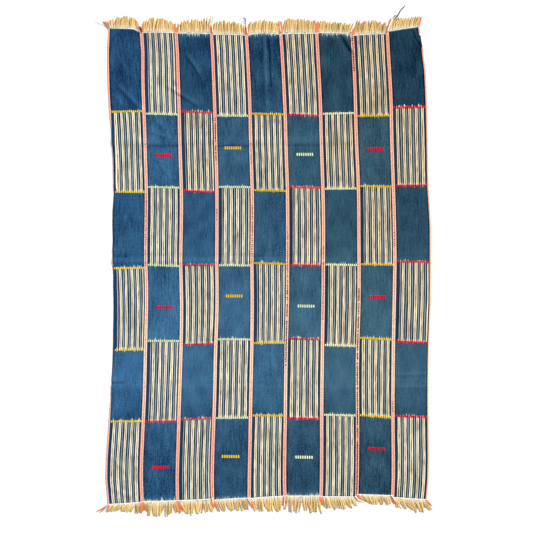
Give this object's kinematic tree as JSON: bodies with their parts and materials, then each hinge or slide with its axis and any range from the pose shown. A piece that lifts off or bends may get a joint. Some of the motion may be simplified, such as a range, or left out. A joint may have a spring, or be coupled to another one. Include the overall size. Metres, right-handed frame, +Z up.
{
  "type": "ikat strip cloth",
  "caption": "Flat hand-woven cotton cloth of narrow strips sewn edge to edge, with resist-dyed indigo and striped blocks, coloured weft lines and fringed ends.",
  "frame": {"origin": "middle of the cloth with its fringes, at the level of the surface it lies on", "axes": "+X across the strips, +Y along the warp towards the end with the neater fringe, +Z up, away from the surface"},
  "size_m": [1.0218, 1.5528, 0.0051],
  "materials": {
    "ikat_cotton": "matt warp-faced plain weave",
    "fringe_cotton": "matt loose yarn ends"
  },
  "bodies": {
    "root": {"woven_strip_1": "ikat_cotton", "woven_strip_2": "ikat_cotton", "woven_strip_3": "ikat_cotton", "woven_strip_4": "ikat_cotton", "woven_strip_5": "ikat_cotton", "woven_strip_6": "ikat_cotton", "woven_strip_7": "ikat_cotton", "woven_strip_8": "ikat_cotton", "woven_strip_9": "ikat_cotton", "fringe_top_1": "fringe_cotton", "fringe_top_2": "fringe_cotton", "fringe_top_3": "fringe_cotton", "fringe_top_4": "fringe_cotton", "fringe_top_5": "fringe_cotton", "fringe_top_6": "fringe_cotton", "fringe_top_7": "fringe_cotton", "fringe_top_8": "fringe_cotton", "fringe_top_9": "fringe_cotton", "fringe_bottom_1": "fringe_cotton", "fringe_bottom_2": "fringe_cotton", "fringe_bottom_3": "fringe_cotton", "fringe_bottom_4": "fringe_cotton", "fringe_bottom_5": "fringe_cotton", "fringe_bottom_6": "fringe_cotton", "fringe_bottom_7": "fringe_cotton", "fringe_bottom_8": "fringe_cotton", "fringe_bottom_9": "fringe_cotton"}
  },
  "joints": []
}
